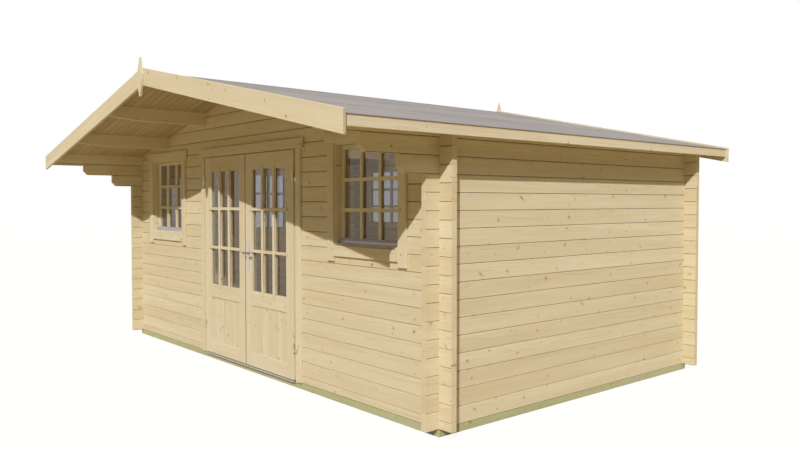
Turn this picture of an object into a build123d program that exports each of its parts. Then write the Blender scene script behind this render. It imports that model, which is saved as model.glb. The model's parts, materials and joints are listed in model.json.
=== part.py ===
"""Log cabin: notched log walls, felted gable roof, glazed double door and four windows.

Millimetres, +Z up, +Y towards the back.  The origin is at ground level under the middle of the roof.
"""
import os
from math import ceil, cos, pi, radians, sqrt, tan

from build123d import *

os.makedirs("parts", exist_ok=True)

# Overall sizes, over the outer faces of the walls
cabin_width = 4860
cabin_depth = 2990
eave_above_head = 34

# Logs and their corner joints
log_height = 114
log_thickness = 44
log_bevel = 4
tongue_height = 6
groove_clearance = 1
corner_reach = 110
joint_gap = 0.3
overrun = 20

# Side wall logs that run forward to carry the front of the roof, from the second one down
bracket_reaches = [617, 320]
bracket_chamfer = 40

# Foundation and floor
foundation_height = 50
foundation_width = 70
joist_width = 45
joist_pitch = 600
floor_thickness = 19
floor_edge_gap = 2

# Roof
roof_pitch = 12
front_overhang = 920
rear_overhang = 230
eave_overhang = 240
roof_board_thickness = 18
felt_thickness = 3
felt_lip = 6
purlin_thickness = 44
purlin_height = 114
purlin_offsets = [810, 1660]
purlin_chamfer = 40
barge_thickness = 20
barge_height = 137
barge_stand = 25
rear_barge_height = 126
barge_end_lap = 15
fascia_thickness = 18
fascia_height = 65

# Finial on each gable
finial_thickness = 18
finial_height = 310
finial_width = 76
finial_neck_width = 56
finial_foot_width = 20
finial_above_ridge = 82
finial_spire_height = 138
finial_shoulder_height = 42
finial_waist_share = 0.43

# Double door
leaf_width = 770
leaf_height = 1827
leaf_thickness = 40
leaf_gap = 7
leaf_stile = 110
leaf_top_rail = 135
leaf_middle_rail = 122
leaf_bottom_rail = 118
leaf_panel_height = 408
leaf_panel_thickness = 16
leaf_panel_recess = 8
leaf_seat_depth = 8
glass_thickness = 4
door_jamb_width = 36
door_frame_depth = 60
door_stop_width = 12
door_stop_gap = 6
threshold_thickness = 3
threshold_lip = 20
threshold_nose = 24

# Boards round the door and windows
trim_width = 80
trim_thickness = 18
trim_ear = 36
trim_reveal = 31
trim_tail = 38
door_trim_width = 66
door_trim_reveal = 20

# Door hinges
hinge_heights_shares = [0.12, 0.86]
knuckle_radius = 7
knuckle_length = 38
pin_radius = 3.5
pin_clearance = 0.3
pin_length = 26
pin_sides = 8
hinge_axis_stand = 8
hinge_plate_width = 26
hinge_plate_thickness = 2.5

# Door handle
handle_height = 985
handle_plate_width = 45
handle_plate_height = 263
handle_plate_thickness = 4
handle_plate_chamfer = 8
handle_plate_drop = 25
lever_length = 118
lever_height = 18
lever_thickness = 12
lever_chamfer = 3
lever_neck = 46
lever_setback = 40
spindle_width = 8
spindle_clearance = 0.5

# Windows
window_width = 780
window_courses = 7
window_place_share = 0.5255
window_jamb = 40
window_frame_depth = 86
sash_setback = 42
sash_thickness = 40
sash_width = 30
sash_gap = 3
drip_height = 40
drip_depth = 14
drip_slope_share = 0.5
left_window_offset = 0

# Derived places
slope = tan(radians(roof_pitch))
board_rise = roof_board_thickness / cos(radians(roof_pitch))
felt_rise = felt_thickness / cos(radians(roof_pitch))
roof_length = front_overhang + cabin_depth + rear_overhang
wall_right = cabin_width / 2
wall_front = front_overhang - roof_length / 2
wall_back = wall_front + cabin_depth
roof_front = -roof_length / 2 + barge_thickness
roof_back = roof_length / 2 - barge_thickness
eave_edge = wall_right + eave_overhang
barge_end = eave_edge + barge_end_lap
half_log = log_height / 2

leaf_low = foundation_height + threshold_thickness + leaf_gap
leaf_high = leaf_low + leaf_height
door_clear = leaf_width + leaf_gap * 3 / 2
door_cut = door_clear + door_jamb_width + joint_gap
head_course = ceil((leaf_high + leaf_gap + door_jamb_width - foundation_height) / log_height - 1 / 2)
front_head = foundation_height + (head_course + 1 / 2) * log_height
side_head = front_head - half_log
eave_wall_height = front_head + eave_above_head - foundation_height
side_courses = ceil((eave_wall_height + log_thickness * slope) / log_height)
gable_room = eave_wall_height + (wall_right - purlin_thickness) * slope
end_courses = ceil(gable_room / log_height + 1 / 2)

trim_front = trim_thickness + joint_gap
leaf_front = trim_front
trim_inner = door_clear + door_trim_reveal
trim_outer = trim_inner + door_trim_width
window_room = wall_right - log_thickness - trim_outer - trim_ear
window_offset = trim_outer + trim_ear + window_place_share * window_room
window_height = window_courses * log_height


def underside(x):
    """Height of the roof boards' lower face above ground."""
    return foundation_height + eave_wall_height + (wall_right - abs(x)) * slope


def save(piece, name):
    """Label a finished sub-part and write its STEP file."""
    piece.part.label = name
    export_step(piece.part, f"parts/{name}.step")


def collect(solids, name):
    """Write several like solids that don't touch as one sub-part."""
    with BuildPart() as group:
        add(solids)
    save(group, name)


# Log walls
along_x = Plane.YZ
along_y = Plane((0, 0, 0), x_dir=(-1, 0, 0), z_dir=(0, 1, 0))


def log_outline(centre, low, high, groove):
    """Corner points of a log's section: bevelled edges, a tongue on top and a groove below."""
    half = log_thickness / 2
    tongue = half - log_bevel
    slot = tongue + groove_clearance
    lower_right = [(tongue, low), (half, low + log_bevel)]
    if groove:
        lower_right = [(slot, low + tongue_height), (slot, low + groove_clearance), (half, low + log_bevel)]
    upper_right = [(half, high - log_bevel), (tongue, high), (tongue, high + tongue_height)]
    right = lower_right + upper_right
    left = [(-across, up) for across, up in reversed(right)]
    return [(centre + across, up) for across, up in right + left]


def cut_across(run, start, end, centre, low, high):
    """Cut a stretch of the log that is being built over its whole thickness."""
    with BuildSketch(run.offset(start)) as block:
        with Locations((centre, (low + high) / 2)):
            Rectangle(log_thickness + overrun, high - low)
    extrude(block.sketch, amount=end - start, mode=Mode.SUBTRACT)


def cut_roof():
    """Remove what stands above the roof boards' lower face."""
    reach = cabin_width
    top = underside(0) + cabin_depth
    with BuildSketch(Plane.XZ) as above:
        with BuildLine():
            Polyline(
                (-reach, underside(reach) - joint_gap),
                (0, underside(0) - joint_gap),
                (reach, underside(reach) - joint_gap),
                (reach, top),
                (-reach, top),
                close=True,
            )
        make_face()
    extrude(above.sketch, amount=roof_length, both=True, mode=Mode.SUBTRACT)


def build_log(run, centre, start, end, course_low, course_high, crossings, openings):
    """One log from start to end, notched at each crossing wall and cut at each opening."""
    low = course_low + joint_gap / 2
    high = course_high - joint_gap / 2
    middle = (course_low + course_high) / 2
    on_foundation = course_low <= foundation_height
    half_notch = log_thickness / 2 + joint_gap
    notches = [(place - half_notch, place + half_notch) for place in crossings if start < place < end]
    with BuildPart() as log:
        with BuildSketch(run.offset(start)):
            with BuildLine():
                Polyline(*log_outline(centre, low, high, not on_foundation), close=True)
            make_face()
        extrude(amount=end - start)
        for notch in notches:
            cut_across(run, *notch, centre, middle - joint_gap / 2, high + overrun)
            if on_foundation and middle - course_low > half_log / 2:
                cut_across(run, *notch, centre, low - overrun, course_low + (half_log + joint_gap) / 2)
        for opening_start, opening_end, opening_low, opening_high in openings:
            if course_low < opening_high - half_log / 2 and high + tongue_height > opening_low:
                cut_low = opening_low - joint_gap / 2
                cut_across(run, opening_start, opening_end, centre, cut_low, high + overrun)
        if high + tongue_height > underside(wall_right + corner_reach) and run is along_x:
            cut_roof()
        if high > underside(wall_right) and run is along_y:
            cut_roof()
    return log.part


def end_course(course):
    """Lower and upper limit of a front or back wall course, which starts with a half log."""
    low = foundation_height + (course - 1 / 2) * log_height
    return max(low, foundation_height), low + log_height


side_centre = wall_right - log_thickness / 2
front_centre = wall_front + log_thickness / 2
back_centre = wall_back - log_thickness / 2
log_end = wall_right + corner_reach


def window_opening(centre, head):
    """Start, end, sill and head of a window's hole in its wall."""
    half = window_width / 2
    return (centre - half, centre + half, head - window_height, head)


def build_end_wall(y_centre, start, end, courses, openings):
    """Logs of a front or back wall between two X places."""
    logs = []
    for course in courses:
        low, high = end_course(course)
        crossings = [-side_centre, side_centre] if low < underside(wall_right) else []
        logs.append(build_log(along_x, y_centre, start, end, low, high, crossings, openings))
    return logs


purlin_places = [0] + [sign * offset for offset in purlin_offsets for sign in (1, -1)]


def notch_for_purlins(log):
    """Cut the seats of the purlins out of a gable log."""
    with BuildPart() as notched:
        add(log)
        for place in purlin_places:
            seat_low = underside(place) - purlin_height - joint_gap
            with BuildSketch(Plane.XY.offset(seat_low)):
                with Locations((place, 0)):
                    Rectangle(purlin_thickness + 2 * joint_gap, 2 * roof_length)
            extrude(amount=purlin_height + overrun, mode=Mode.SUBTRACT)
    return notched.part


wall_courses = range(head_course + 1)
gable_courses = range(head_course + 1, end_courses)
left_hole = window_opening(-window_offset, front_head)
right_hole = window_opening(window_offset, front_head)

front_left = build_end_wall(front_centre, -log_end, -door_cut, wall_courses, [left_hole])
collect(front_left, "front_wall_left_logs")
front_right = build_end_wall(front_centre, door_cut, log_end, wall_courses, [right_hole])
collect(front_right, "front_wall_right_logs")
back_wall = build_end_wall(back_centre, -log_end, log_end, wall_courses, [left_hole])
collect(back_wall, "back_wall_logs")

for name, y_centre in (("front_gable_logs", front_centre), ("back_gable_logs", back_centre)):
    gable = build_end_wall(y_centre, -log_end, log_end, gable_courses, [])
    collect([notch_for_purlins(log) for log in gable], name)


def build_side_log(x_centre, course, openings):
    """One side wall log; the upper ones run forward under the roof."""
    low = foundation_height + course * log_height
    from_top = side_courses - 1 - course
    start = wall_front - corner_reach
    end = wall_back + corner_reach
    if from_top == 0:
        start = roof_front + joint_gap
        end = roof_back - joint_gap
    elif from_top <= len(bracket_reaches):
        start = wall_front - bracket_reaches[from_top - 1]
    crossings = [front_centre, back_centre]
    log = build_log(along_y, -x_centre, start, end, low, low + log_height, crossings, openings)
    if not 0 < from_top <= len(bracket_reaches):
        return log
    with BuildPart() as bracket:
        add(log)
        with BuildSketch(Plane.YZ.offset(x_centre)):
            with BuildLine():
                Polyline(
                    (start - overrun, low - overrun),
                    (start + bracket_chamfer + overrun, low - overrun),
                    (start - overrun, low + bracket_chamfer + overrun),
                    close=True,
                )
            make_face()
        extrude(amount=log_thickness, both=True, mode=Mode.SUBTRACT)
    return bracket.part


middle_depth = (wall_front + wall_back) / 2
side_hole = window_opening(middle_depth + left_window_offset, side_head)
collect([build_side_log(-side_centre, course, [side_hole]) for course in range(side_courses)],
        "left_wall_logs")
collect([build_side_log(side_centre, course, []) for course in range(side_courses)],
        "right_wall_logs")


# Plain bars and boards
def bar(plane, left, right, low, high, back, front):
    """A straight board drawn on a wall plane, from one depth to another along its normal."""
    with BuildPart() as board:
        with BuildSketch(plane.offset(back)):
            with Locations(((left + right) / 2, (low + high) / 2)):
                Rectangle(right - left, high - low)
        extrude(amount=front - back)
    return board.part


# Foundation beams and joists
inner_front = wall_front + foundation_width
inner_back = wall_back - foundation_width
beams = [
    bar(Plane.XY, -wall_right, wall_right, wall_front, inner_front, 0, foundation_height),
    bar(Plane.XY, -wall_right, wall_right, inner_back, wall_back, 0, foundation_height),
]
joist_count = ceil((cabin_width - 2 * foundation_width) / joist_pitch) - 1
joist_step = (cabin_width - foundation_width) / (joist_count + 1)
for index in range(joist_count + 2):
    middle = -wall_right + foundation_width / 2 + index * joist_step
    outermost = index in (0, joist_count + 1)
    half = (foundation_width if outermost else joist_width) / 2
    span = (inner_front + joint_gap, inner_back - joint_gap)
    beams.append(bar(Plane.XY, middle - half, middle + half, *span, 0, foundation_height))
collect(beams, "foundation_beams")

floor_inset = log_thickness + floor_edge_gap
with BuildPart() as floor_boards:
    with BuildSketch(Plane.XY.offset(foundation_height)):
        with Locations((0, middle_depth)):
            Rectangle(cabin_width - 2 * floor_inset, cabin_depth - 2 * floor_inset)
        doorway_half = door_cut + floor_edge_gap
        doorway_depth = door_frame_depth + floor_edge_gap
        with Locations((0, wall_front)):
            Rectangle(2 * doorway_half, 2 * doorway_depth, mode=Mode.SUBTRACT)
    extrude(amount=floor_thickness)
save(floor_boards, "floor_boards")


# Roof
def roof_slab(side, near, far, lift, rise, front, back):
    """A sloping slab on one side of the ridge, plumb cut at both edges."""
    with BuildPart() as slab:
        with BuildSketch(Plane.XZ.offset(-back)):
            with BuildLine():
                Polyline(
                    (side * near, underside(near) + lift),
                    (side * far, underside(far) + lift),
                    (side * far, underside(far) + lift + rise),
                    (side * near, underside(near) + lift + rise),
                    close=True,
                )
            make_face()
        extrude(amount=back - front)
    return slab


board_edge = eave_edge - fascia_thickness - joint_gap
cover_front = roof_front + joint_gap
cover_back = roof_back - joint_gap
felt_lift = board_rise + joint_gap
for side, word in ((-1, "left"), (1, "right")):
    boards = roof_slab(side, joint_gap, board_edge, 0, board_rise, cover_front, cover_back)
    save(boards, f"{word}_roof_boards")
    felt = roof_slab(side, joint_gap, eave_edge + felt_lip, felt_lift, felt_rise, cover_front, cover_back)
    save(felt, f"{word}_roofing_felt")

barge_lift = board_rise + felt_rise + barge_stand - barge_height
for word, face, rise in (("front", -roof_length / 2, barge_height), ("back", roof_back, rear_barge_height)):
    pair = [
        roof_slab(side, joint_gap, barge_end, barge_lift, rise, face, face + barge_thickness).part
        for side in (-1, 1)
    ]
    collect(pair, f"{word}_barge_boards")

fascias = []
for side in (-1, 1):
    near = eave_edge - fascia_thickness
    low = underside(eave_edge) + board_rise - fascia_height
    with BuildPart() as fascia:
        with BuildSketch(Plane.XZ.offset(-cover_back)):
            with BuildLine():
                Polyline(
                    (side * near, low),
                    (side * eave_edge, low),
                    (side * eave_edge, underside(eave_edge) + board_rise),
                    (side * near, underside(near) + board_rise),
                    close=True,
                )
            make_face()
        extrude(amount=cover_back - cover_front)
    fascias.append(fascia.part)
collect(fascias, "eave_fascias")


def build_purlin(place):
    """A roof beam with chamfered ends, whose top follows the roof boards above it."""
    low = underside(place) - purlin_height
    top = low + 2 * purlin_height
    with BuildPart() as purlin:
        with BuildSketch(Plane.YZ.offset(place - purlin_thickness / 2)):
            with BuildLine():
                Polyline(
                    (cover_front, top),
                    (cover_front, low + purlin_chamfer),
                    (cover_front + purlin_chamfer, low),
                    (cover_back - purlin_chamfer, low),
                    (cover_back, low + purlin_chamfer),
                    (cover_back, top),
                    close=True,
                )
            make_face()
        extrude(amount=purlin_thickness)
        cut_roof()
    return purlin


save(build_purlin(0), "ridge_purlin")
for side, word in ((-1, "left"), (1, "right")):
    collect([build_purlin(side * offset).part for offset in purlin_offsets], f"{word}_purlins")

finial_top = underside(0) + board_rise + felt_rise + barge_stand + finial_above_ridge
finial_low = finial_top - finial_height
shoulder_high = finial_top - finial_spire_height
shoulder_low = shoulder_high - finial_shoulder_height
finial_faces = {
    "front": -roof_length / 2 - joint_gap - finial_thickness,
    "back": roof_length / 2 + joint_gap,
}
for word, face in finial_faces.items():
    half = finial_width / 2
    with BuildPart() as finial:
        with BuildSketch(Plane.XZ.offset(-face)):
            with BuildLine():
                waist = (half * finial_waist_share, (finial_top + shoulder_high) / 2)
                ThreePointArc((0, finial_top), waist, (half, shoulder_high))
                Polyline(
                    (half, shoulder_high),
                    (half, shoulder_low),
                    (finial_neck_width / 2, shoulder_low),
                    (finial_foot_width / 2, finial_low),
                    (0, finial_low),
                    (0, finial_top),
                )
            make_face()
            mirror(about=Plane.YZ)
        extrude(amount=-finial_thickness)
    save(finial, f"{word}_finial")

# Door frame, trim and threshold
front_plane = Plane((0, wall_front, 0), x_dir=(1, 0, 0), z_dir=(0, -1, 0))
head_low = leaf_high + leaf_gap
head_high = front_head - joint_gap
stop_front = leaf_front - leaf_thickness - door_stop_gap


def build_jamb(left, right, low, high, stop_left, stop_right, stop_low, stop_high):
    """A member of the door frame with the stop that the closed leaves meet."""
    with BuildPart() as jamb:
        add(bar(front_plane, left, right, low, high, -door_frame_depth, 0))
        add(bar(front_plane, stop_left, stop_right, stop_low, stop_high, -door_frame_depth, stop_front))
    return jamb.part


stop_head = head_low - door_stop_width
stop_span = door_clear - door_stop_width
frame_parts = [
    build_jamb(-door_clear, door_clear, head_low, head_high, -door_clear, door_clear, stop_head, head_low)
]
for side in (-1, 1):
    edges = sorted((side * (door_clear + joint_gap), side * (door_clear + door_jamb_width)))
    stop_edges = sorted((side * stop_span, side * (door_clear + joint_gap)))
    foot = foundation_height + threshold_thickness + joint_gap
    stop_levels = (foot, stop_head - joint_gap)
    frame_parts.append(build_jamb(*edges, foundation_height, head_high, *stop_edges, *stop_levels))
collect(frame_parts, "door_frame")

door_trim = [
    bar(front_plane, -trim_outer - trim_ear, trim_outer + trim_ear, head_low, head_low + trim_width,
        joint_gap, trim_front)
]
for side in (-1, 1):
    edges = sorted((side * trim_inner, side * trim_outer))
    door_trim.append(
        bar(front_plane, *edges, foundation_height, head_low - joint_gap, joint_gap, trim_front))
collect(door_trim, "door_trim")

with BuildPart() as door_threshold:
    with BuildSketch(Plane.YZ.offset(-door_clear)):
        with BuildLine():
            Polyline(
                (wall_front + door_frame_depth, foundation_height),
                (wall_front + door_frame_depth, foundation_height + threshold_thickness),
                (wall_front - threshold_nose, foundation_height + threshold_thickness),
                (wall_front - threshold_nose, foundation_height - threshold_lip),
                (wall_front - threshold_nose + threshold_thickness, foundation_height - threshold_lip),
                (wall_front - threshold_nose + threshold_thickness, foundation_height),
                close=True,
            )
        make_face()
    extrude(amount=2 * door_clear)
save(door_threshold, "door_threshold")

# Door leaves
spindle_bore = spindle_width / sqrt(2) + spindle_clearance
lever_x = leaf_gap / 2 + lever_setback
lever_z = foundation_height + handle_height


def build_leaf(side, word):
    """Stiles, rails, boarded panel and glass of one leaf, side -1 or 1 from the middle."""
    near = leaf_gap / 2
    far = near + leaf_width
    rail_near = near + leaf_stile + joint_gap
    rail_far = far - leaf_stile - joint_gap
    panel_low = leaf_low + leaf_bottom_rail
    panel_high = panel_low + leaf_panel_height
    glass_low = panel_high + leaf_middle_rail
    glass_high = leaf_high - leaf_top_rail

    panel_front = leaf_front - leaf_panel_recess
    panel_back = panel_front - leaf_panel_thickness
    glass_front = leaf_front + (glass_thickness - leaf_thickness) / 2
    glass_back = glass_front - glass_thickness

    def member(a, b, low, high, back, front):
        left, right = sorted((side * a, side * b))
        return bar(front_plane, left, right, low, high, back, front)

    def infill(low, high, back, front, reach, gap):
        return member(rail_near - reach, rail_far + reach, low - reach, high + reach, back - gap, front + gap)

    seat = leaf_seat_depth
    seats = [
        infill(panel_low, panel_high, panel_back, panel_front, seat, joint_gap),
        infill(glass_low, glass_high, glass_back, glass_front, seat, joint_gap),
    ]
    timber = []
    for a, b, low, high in (
        (near, near + leaf_stile, leaf_low, leaf_high),
        (far - leaf_stile, far, leaf_low, leaf_high),
        (rail_near, rail_far, leaf_low, panel_low),
        (rail_near, rail_far, panel_high, glass_low),
        (rail_near, rail_far, glass_high, leaf_high),
    ):
        with BuildPart() as piece:
            add(member(a, b, low, high, leaf_front - leaf_thickness, leaf_front))
            add(seats, mode=Mode.SUBTRACT)
            if side > 0 and a == near:
                with BuildSketch(front_plane):
                    with Locations((lever_x, lever_z)):
                        Circle(spindle_bore)
                extrude(amount=leaf_thickness, both=True, mode=Mode.SUBTRACT)
        timber.append(piece.part)
    collect(timber, f"{word}_door_leaf")
    fit = seat - joint_gap
    collect([infill(panel_low, panel_high, panel_back, panel_front, fit, 0)], f"{word}_door_panel")
    collect([infill(glass_low, glass_high, glass_back, glass_front, fit, 0)], f"{word}_door_glass")


build_leaf(-1, "left")
build_leaf(1, "right")

# Hinges: the lower knuckle and its pin stay on the frame, the upper knuckle moves with the leaf
hinge_x = leaf_gap + leaf_width
hinge_face = wall_front - leaf_front
hinge_y = hinge_face - hinge_axis_stand
hinge_levels = [leaf_low + share * leaf_height for share in hinge_heights_shares]


def build_knuckle(side, low, plate_to, hollow):
    """A hinge barrel with the plate that screws to the timber beside it."""
    inner, outer = sorted((side * hinge_x, side * plate_to))
    with BuildPart() as knuckle:
        with BuildSketch(Plane.XY.offset(low)):
            with Locations((side * hinge_x, hinge_y)):
                Circle(knuckle_radius)
            with Locations(((inner + outer) / 2, hinge_face - joint_gap - hinge_plate_thickness / 2)):
                Rectangle(outer - inner, hinge_plate_thickness)
        extrude(amount=knuckle_length)
        with BuildSketch(Plane.XY.offset(low)):
            with Locations((side * hinge_x, hinge_y)):
                reach = (pin_radius + pin_clearance) / cos(pi / pin_sides) if hollow else pin_radius
                RegularPolygon(reach, pin_sides)
        if hollow:
            extrude(amount=pin_length + joint_gap, mode=Mode.SUBTRACT)
        else:
            extrude(amount=knuckle_length + pin_length)
    return knuckle.part


frame_knuckles = []
for side, word in ((-1, "left"), (1, "right")):
    leaf_knuckles = []
    for level in hinge_levels:
        frame_knuckles.append(build_knuckle(side, level, trim_inner + hinge_plate_width, False))
        upper = level + knuckle_length + joint_gap
        leaf_knuckles.append(build_knuckle(side, upper, hinge_x - hinge_plate_width, True))
    collect(leaf_knuckles, f"{word}_leaf_hinges")
collect(frame_knuckles, "frame_hinges")

# Handle plates and the lever that turns in them
plates = []
leaf_back = leaf_front - leaf_thickness
for back, front in ((leaf_front + joint_gap, leaf_front + handle_plate_thickness),
                    (leaf_back - handle_plate_thickness, leaf_back - joint_gap)):
    with BuildPart() as plate:
        with BuildSketch(front_plane.offset(back)):
            with Locations((lever_x, lever_z - handle_plate_drop)):
                outline = Rectangle(handle_plate_width, handle_plate_height)
                chamfer(outline.vertices(), handle_plate_chamfer)
            with Locations((lever_x, lever_z)):
                Circle(spindle_bore, mode=Mode.SUBTRACT)
        extrude(amount=front - back)
    plates.append(plate.part)
collect(plates, "door_handle_plates")

neck_reach = handle_plate_thickness + lever_neck
with BuildPart() as door_lever:
    with BuildSketch(front_plane.offset(leaf_back - neck_reach)):
        with Locations((lever_x, lever_z)):
            Rectangle(spindle_width, spindle_width)
    extrude(amount=leaf_thickness + 2 * neck_reach)
    for depth in (leaf_front + neck_reach, leaf_back - neck_reach):
        with BuildSketch(Plane.YZ.offset(lever_x - lever_height / 2)):
            with Locations((wall_front - depth, lever_z)):
                section = Rectangle(lever_thickness, lever_height)
                chamfer(section.vertices(), lever_chamfer)
        extrude(amount=lever_length)
save(door_lever, "door_lever")


# Windows
def build_window(plane, word, centre, head):
    """Frame, sash, glass, drip rail and trim of a window on a wall's outer plane."""
    left = centre - window_width / 2 + joint_gap
    right = centre + window_width / 2 - joint_gap
    low = head - window_height + joint_gap
    high = head - joint_gap
    back = -window_frame_depth

    def ring(a, b, c, d, width, depth_back, depth_front):
        return [
            bar(plane, a, a + width, c, d, depth_back, depth_front),
            bar(plane, b - width, b, c, d, depth_back, depth_front),
            bar(plane, a + width + joint_gap, b - width - joint_gap, c, c + width, depth_back, depth_front),
            bar(plane, a + width + joint_gap, b - width - joint_gap, d - width, d, depth_back, depth_front),
        ]

    collect(ring(left, right, low, high, window_jamb, back, 0), f"{word}_window_frame")
    inset = window_jamb + sash_gap
    sash_back = -sash_setback - sash_thickness
    sash = ring(left + inset, right - inset, low + inset - sash_gap + joint_gap, high - inset, sash_width,
                sash_back, -sash_setback)
    collect(sash, f"{word}_window_sash")
    edge = inset + sash_width + joint_gap
    pane_low = low + window_jamb + sash_width + 2 * joint_gap
    pane = bar(plane, left + edge, right - edge, pane_low, high - edge,
               -sash_setback - (sash_thickness + glass_thickness) / 2,
               -sash_setback - (sash_thickness - glass_thickness) / 2)
    collect([pane], f"{word}_window_glass")

    drip_low = low + window_jamb + joint_gap
    drip_face = -sash_setback + joint_gap
    drip_plane = Plane(plane.origin, x_dir=plane.z_dir, z_dir=-plane.x_dir)
    with BuildPart() as drip:
        with BuildSketch(drip_plane.offset(-right + inset)):
            with BuildLine():
                Polyline(
                    (drip_face, drip_low),
                    (drip_face + drip_depth, drip_low),
                    (drip_face + drip_depth, drip_low + drip_height * drip_slope_share),
                    (drip_face, drip_low + drip_height),
                    close=True,
                )
            make_face()
        extrude(amount=right - left - 2 * inset)
    save(drip, f"{word}_window_drip_rail")

    cover = window_jamb - trim_reveal / 2
    inner_left = left + cover
    inner_right = right - cover
    head_low = high - cover
    board_high = low + cover
    trim_low = board_high - trim_width
    boards = [
        bar(plane, inner_left - trim_width, inner_left, trim_low - trim_tail, head_low - joint_gap,
            joint_gap, trim_front),
        bar(plane, inner_right, inner_right + trim_width, trim_low - trim_tail, head_low - joint_gap,
            joint_gap, trim_front),
        bar(plane, inner_left + joint_gap, inner_right - joint_gap, trim_low, board_high,
            joint_gap, trim_front),
        bar(plane, inner_left - trim_width - trim_ear, inner_right + trim_width + trim_ear, head_low,
            head_low + trim_width, joint_gap, trim_front),
    ]
    collect(boards, f"{word}_window_trim")


back_plane = Plane((0, wall_back, 0), x_dir=(-1, 0, 0), z_dir=(0, 1, 0))
left_plane = Plane((-wall_right, 0, 0), x_dir=(0, -1, 0), z_dir=(-1, 0, 0))
build_window(front_plane, "front_left", -window_offset, front_head)
build_window(front_plane, "front_right", window_offset, front_head)
build_window(back_plane, "back", window_offset, front_head)
build_window(left_plane, "left", -middle_depth - left_window_offset, side_head)
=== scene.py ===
"""Looks of the log cabin: grained timber, boards, glazing bars, felt, metalwork, light and camera."""
import json
import math
import random

import bmesh
import bpy
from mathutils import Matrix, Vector


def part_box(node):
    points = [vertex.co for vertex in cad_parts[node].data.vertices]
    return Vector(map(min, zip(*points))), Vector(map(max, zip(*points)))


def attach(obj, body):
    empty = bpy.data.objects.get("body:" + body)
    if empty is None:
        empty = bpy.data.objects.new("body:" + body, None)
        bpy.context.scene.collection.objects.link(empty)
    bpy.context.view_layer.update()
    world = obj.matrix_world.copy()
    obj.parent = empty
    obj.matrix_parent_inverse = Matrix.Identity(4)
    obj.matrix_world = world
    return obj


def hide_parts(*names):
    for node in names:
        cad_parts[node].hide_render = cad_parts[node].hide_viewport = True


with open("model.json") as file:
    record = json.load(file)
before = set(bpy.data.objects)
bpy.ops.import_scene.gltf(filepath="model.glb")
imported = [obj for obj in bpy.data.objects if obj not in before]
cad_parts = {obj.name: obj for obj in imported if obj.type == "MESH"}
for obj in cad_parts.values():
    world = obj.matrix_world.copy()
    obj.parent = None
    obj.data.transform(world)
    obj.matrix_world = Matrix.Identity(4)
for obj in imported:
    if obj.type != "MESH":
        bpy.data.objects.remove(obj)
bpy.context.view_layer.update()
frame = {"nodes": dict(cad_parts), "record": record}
nodes = frame["nodes"]
bodies = frame["record"]["behaviour"]["bodies"]
body_of = {node: body for body, members in bodies.items() for node in members}
slot_of = {row["node"]: row["material_slot"] for row in frame["record"]["subparts"]}
dice = random.Random(17)

# Values that several pieces share, in metres and radians
roof_pitch = math.radians(12)
slope = math.tan(roof_pitch)
fit_gap = 0.0003
close_by = 0.001


# Shader node helpers
def srgb(red, green, blue):
    """Linear colour of an sRGB triple in 0 to 255."""
    def linear(value):
        share = value / 255
        return share / 12.92 if share <= 0.04045 else ((share + 0.055) / 1.055) ** 2.4
    return (linear(red), linear(green), linear(blue), 1.0)


def new_material(name):
    """An empty node material with its tree and its main shader."""
    material = bpy.data.materials.new(name)
    material.use_nodes = True
    tree = material.node_tree
    return material, tree, tree.nodes["Principled BSDF"]


def put(tree, kind, sources=None, **settings):
    """Add a shader node, set its options, and link or set its inputs."""
    made = tree.nodes.new("ShaderNode" + kind)
    for key, value in settings.items():
        setattr(made, key, value)
    for key, value in (sources or {}).items():
        if isinstance(value, bpy.types.NodeSocket):
            tree.links.new(value, made.inputs[key])
        else:
            made.inputs[key].default_value = value
    return made


def maths(tree, operation, *values):
    return put(tree, "Math", dict(enumerate(values)), operation=operation).outputs[0]


def vectors(tree, operation, *values):
    return put(tree, "VectorMath", dict(enumerate(values)), operation=operation).outputs[0]


def length(tree, value):
    return put(tree, "VectorMath", {0: value}, operation="LENGTH").outputs["Value"]


def remap(tree, value, low, high, to_low, to_high, kind="LINEAR"):
    sources = {"Value": value, "From Min": low, "From Max": high, "To Min": to_low, "To Max": to_high}
    return put(tree, "MapRange", sources, interpolation_type=kind).outputs[0]


def mixed(tree, share, first, second):
    sources = {0: share, 6: first, 7: second}
    return put(tree, "Mix", sources, data_type="RGBA", clamp_factor=True).outputs[2]


def noise(tree, place, stretch, detail=2.0, roughness=0.5):
    """Noise over a stretched place, as its value and its colour."""
    spot = vectors(tree, "MULTIPLY", place, stretch)
    made = put(tree, "TexNoise", {"Vector": spot, "Scale": 1.0, "Detail": detail, "Roughness": roughness})
    return made.outputs[0], made.outputs[1]


def marked(tree, name):
    """The number that the mesh carries under a name."""
    return put(tree, "Attribute", attribute_name=name).outputs["Fac"]


def bump(tree, shader, height, distance, strength):
    sources = {"Height": height, "Distance": distance, "Strength": strength}
    tree.links.new(put(tree, "Bump", sources).outputs[0], shader.inputs["Normal"])


def background_rays(tree):
    """1 on the rays that see the background: from the eye, off gloss and through glass."""
    path = put(tree, "LightPath").outputs
    seen = maths(tree, "MAXIMUM", path["Is Camera Ray"], path["Is Glossy Ray"])
    return maths(tree, "MAXIMUM", seen, path["Is Transmission Ray"])


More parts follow.
